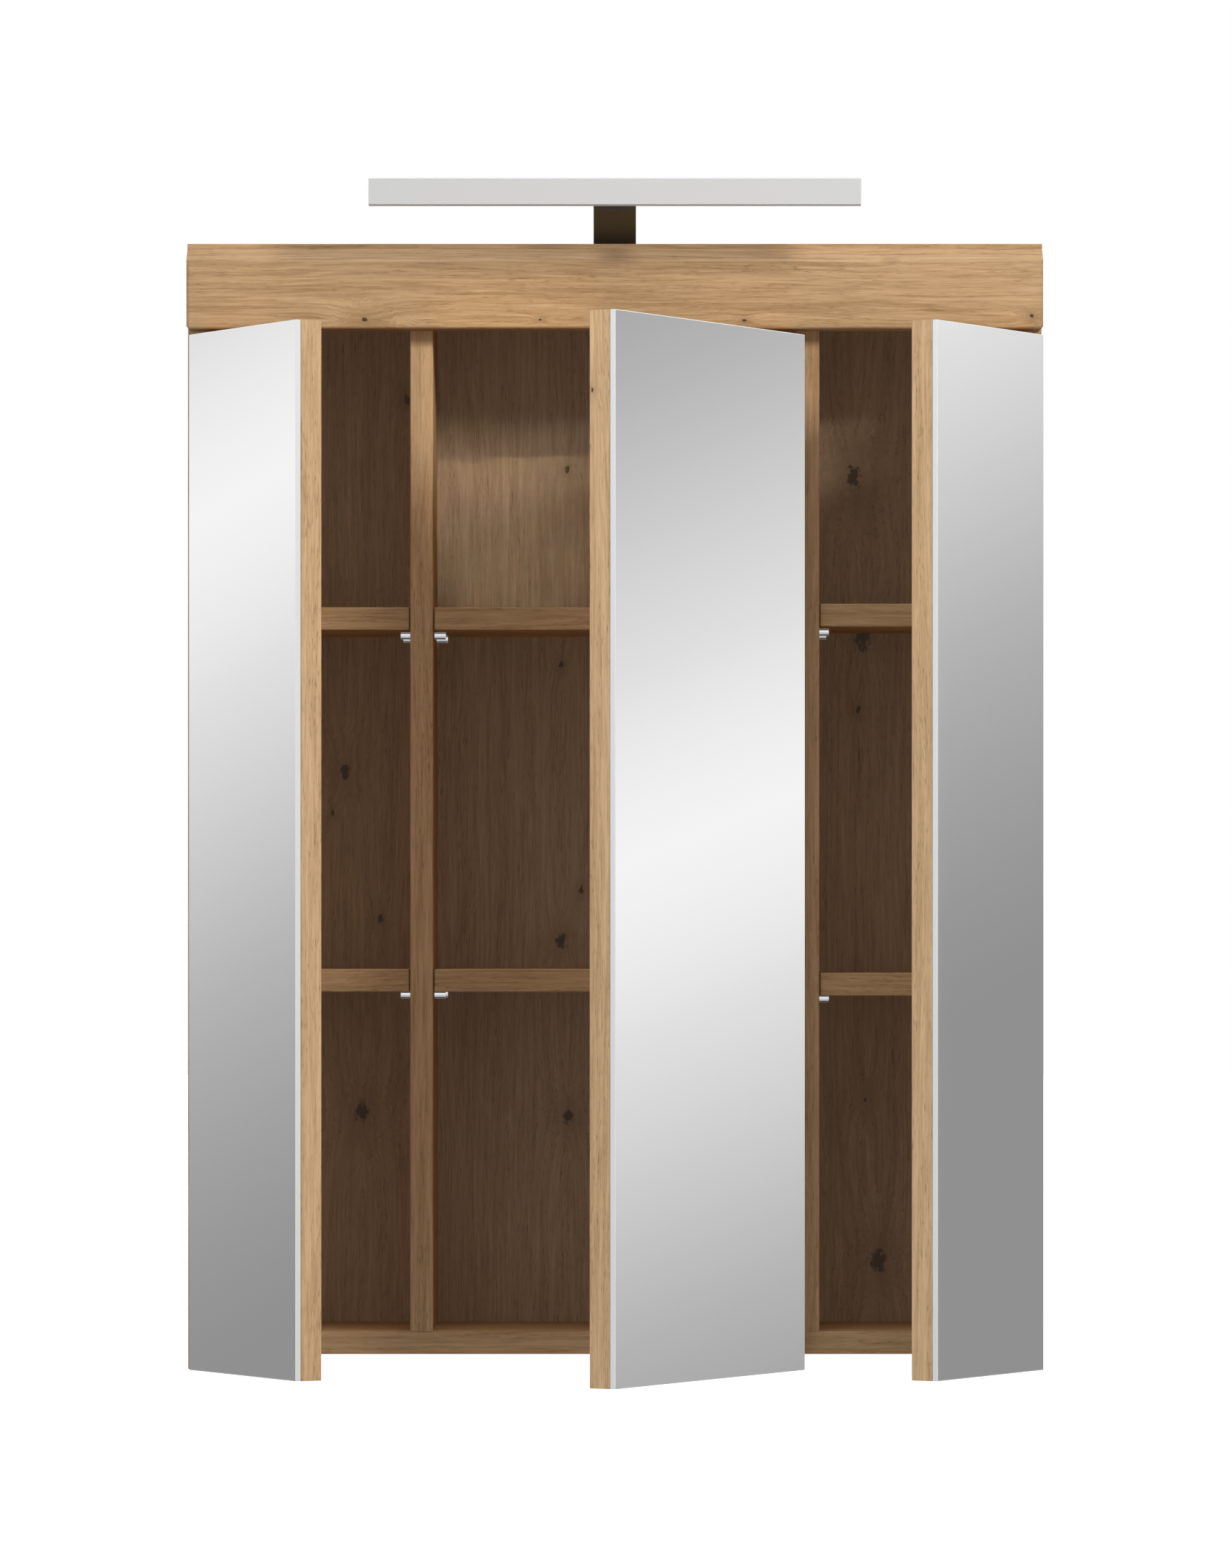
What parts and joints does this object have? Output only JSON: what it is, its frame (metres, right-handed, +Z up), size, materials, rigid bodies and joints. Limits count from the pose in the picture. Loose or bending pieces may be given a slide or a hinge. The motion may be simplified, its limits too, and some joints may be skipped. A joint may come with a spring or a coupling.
{
  "type": "mirror cabinet",
  "caption": "Wall-hung mirror cabinet with hinged mirrored doors over shelved columns, a bevelled oak cornice and a bar lamp on a short neck.",
  "frame": {"origin": "centre of the top panel's rear edge, on the wall face", "axes": "+Z up, +Y into the wall, +X to the right as one faces the cabinet; the doors open towards -Y"},
  "size_m": [0.6007, 0.3911, 0.8275],
  "materials": {
    "oak_upright": "light oak foil, fine grain running up the boards, satin",
    "oak_level": "light oak foil, fine grain running across, satin",
    "oak_cornice": "light oak foil, fine grain along the cornice with a few small knots, satin",
    "oak_back": "thin board with oak print, grain running up, a few knots",
    "mirror_glass": "clear silvered mirror with polished pale edges",
    "bonding_tape": "thin dark foam tape",
    "chrome_pins": "polished",
    "nickel_hinges": "nickel plated pressed steel and die casting",
    "zinc_cams": "die-cast zinc",
    "steel_screws": "zinc plated",
    "beech_dowels": "plain beech",
    "zinc_hangers": "zinc plated sheet",
    "lamp_shell": "satin pale grey",
    "lamp_bar": "satin white",
    "diffuser": "opal",
    "led_board": "white board with yellow chips",
    "dark_chrome": "polished, reflecting dark surroundings",
    "black_plastic": "satin black"
  },
  "bodies": {
    "carcass": {"back_panel": "oak_back", "bottom_panel": "oak_level", "cam_bolts": "steel_screws", "cam_locks": "zinc_cams", "cornice_board": "oak_cornice", "cornice_dowels": "beech_dowels", "divider_screws": "steel_screws", "hanger_plates": "zinc_hangers", "hanger_screws": "steel_screws", "hinge_plate_screws": "steel_screws", "lamp_arm": "lamp_bar", "lamp_cable_gland": "black_plastic", "lamp_collar": "black_plastic", "lamp_diffuser": "diffuser", "lamp_end_caps": "lamp_shell", "lamp_housing": "lamp_shell", "lamp_neck": "dark_chrome", "lamp_screws": "steel_screws", "led_strip": "led_board", "left_divider": "oak_upright", "left_hinge_arms": "nickel_hinges", "left_hinge_plates": "nickel_hinges", "left_lower_shelf": "oak_level", "left_shelf_pins": "chrome_pins", "left_side_panel": "oak_upright", "left_upper_shelf": "oak_level", "middle_hinge_arms": "nickel_hinges", "middle_hinge_plates": "nickel_hinges", "middle_lower_shelf": "oak_level", "middle_shelf_pins": "chrome_pins", "middle_upper_shelf": "oak_level", "right_divider": "oak_upright", "right_hinge_arms": "nickel_hinges", "right_hinge_plates": "nickel_hinges", "right_lower_shelf": "oak_level", "right_shelf_pins": "chrome_pins", "right_side_panel": "oak_upright", "right_upper_shelf": "oak_level", "top_panel": "oak_level", "wood_dowels": "beech_dowels"},
    "left_links": {"left_hinge_links": "nickel_hinges"},
    "left_door": {"left_door_panel": "oak_upright", "left_mirror": "mirror_glass", "left_mirror_tape": "bonding_tape", "left_hinge_cups": "nickel_hinges", "left_cup_screws": "steel_screws"},
    "middle_links": {"middle_hinge_links": "nickel_hinges"},
    "middle_door": {"middle_door_panel": "oak_upright", "middle_mirror": "mirror_glass", "middle_mirror_tape": "bonding_tape", "middle_hinge_cups": "nickel_hinges", "middle_cup_screws": "steel_screws"},
    "right_links": {"right_hinge_links": "nickel_hinges"},
    "right_door": {"right_door_panel": "oak_upright", "right_mirror": "mirror_glass", "right_mirror_tape": "bonding_tape", "right_hinge_cups": "nickel_hinges", "right_cup_screws": "steel_screws"}
  },
  "joints": [
    {"name": "left_door_hinge", "type": "hinge", "parent": "left_links", "child": "left_door", "pos_m": [-0.28205, -0.16365, -0.419], "axis": [0, 0, -1], "range_deg": [-78, 45.5]},
    {"name": "left_link_pivot", "type": "hinge", "parent": "carcass", "child": "left_links", "pos_m": [-0.2702, -0.1435, -0.419], "axis": [0, 0, -1], "range_deg": [-10.52, 18.02]},
    {"name": "middle_door_hinge", "type": "hinge", "parent": "middle_links", "child": "middle_door", "pos_m": [0.11675, -0.16365, -0.419], "axis": [0, 0, 1], "range_deg": [-78, 45.5]},
    {"name": "middle_link_pivot", "type": "hinge", "parent": "carcass", "child": "middle_links", "pos_m": [0.1049, -0.1435, -0.419], "axis": [0, 0, 1], "range_deg": [-10.52, 18.02]},
    {"name": "right_door_hinge", "type": "hinge", "parent": "right_links", "child": "right_door", "pos_m": [0.28415, -0.16365, -0.419], "axis": [0, 0, 1], "range_deg": [-78, 45.5]},
    {"name": "right_link_pivot", "type": "hinge", "parent": "carcass", "child": "right_links", "pos_m": [0.2723, -0.1435, -0.419], "axis": [0, 0, 1], "range_deg": [-10.52, 18.02]}
  ],
  "couplings": [
    {"joint": "left_link_pivot", "follows": "left_door_hinge", "ratio": -0.23077},
    {"joint": "middle_link_pivot", "follows": "middle_door_hinge", "ratio": -0.23077},
    {"joint": "right_link_pivot", "follows": "right_door_hinge", "ratio": -0.23077}
  ]
}
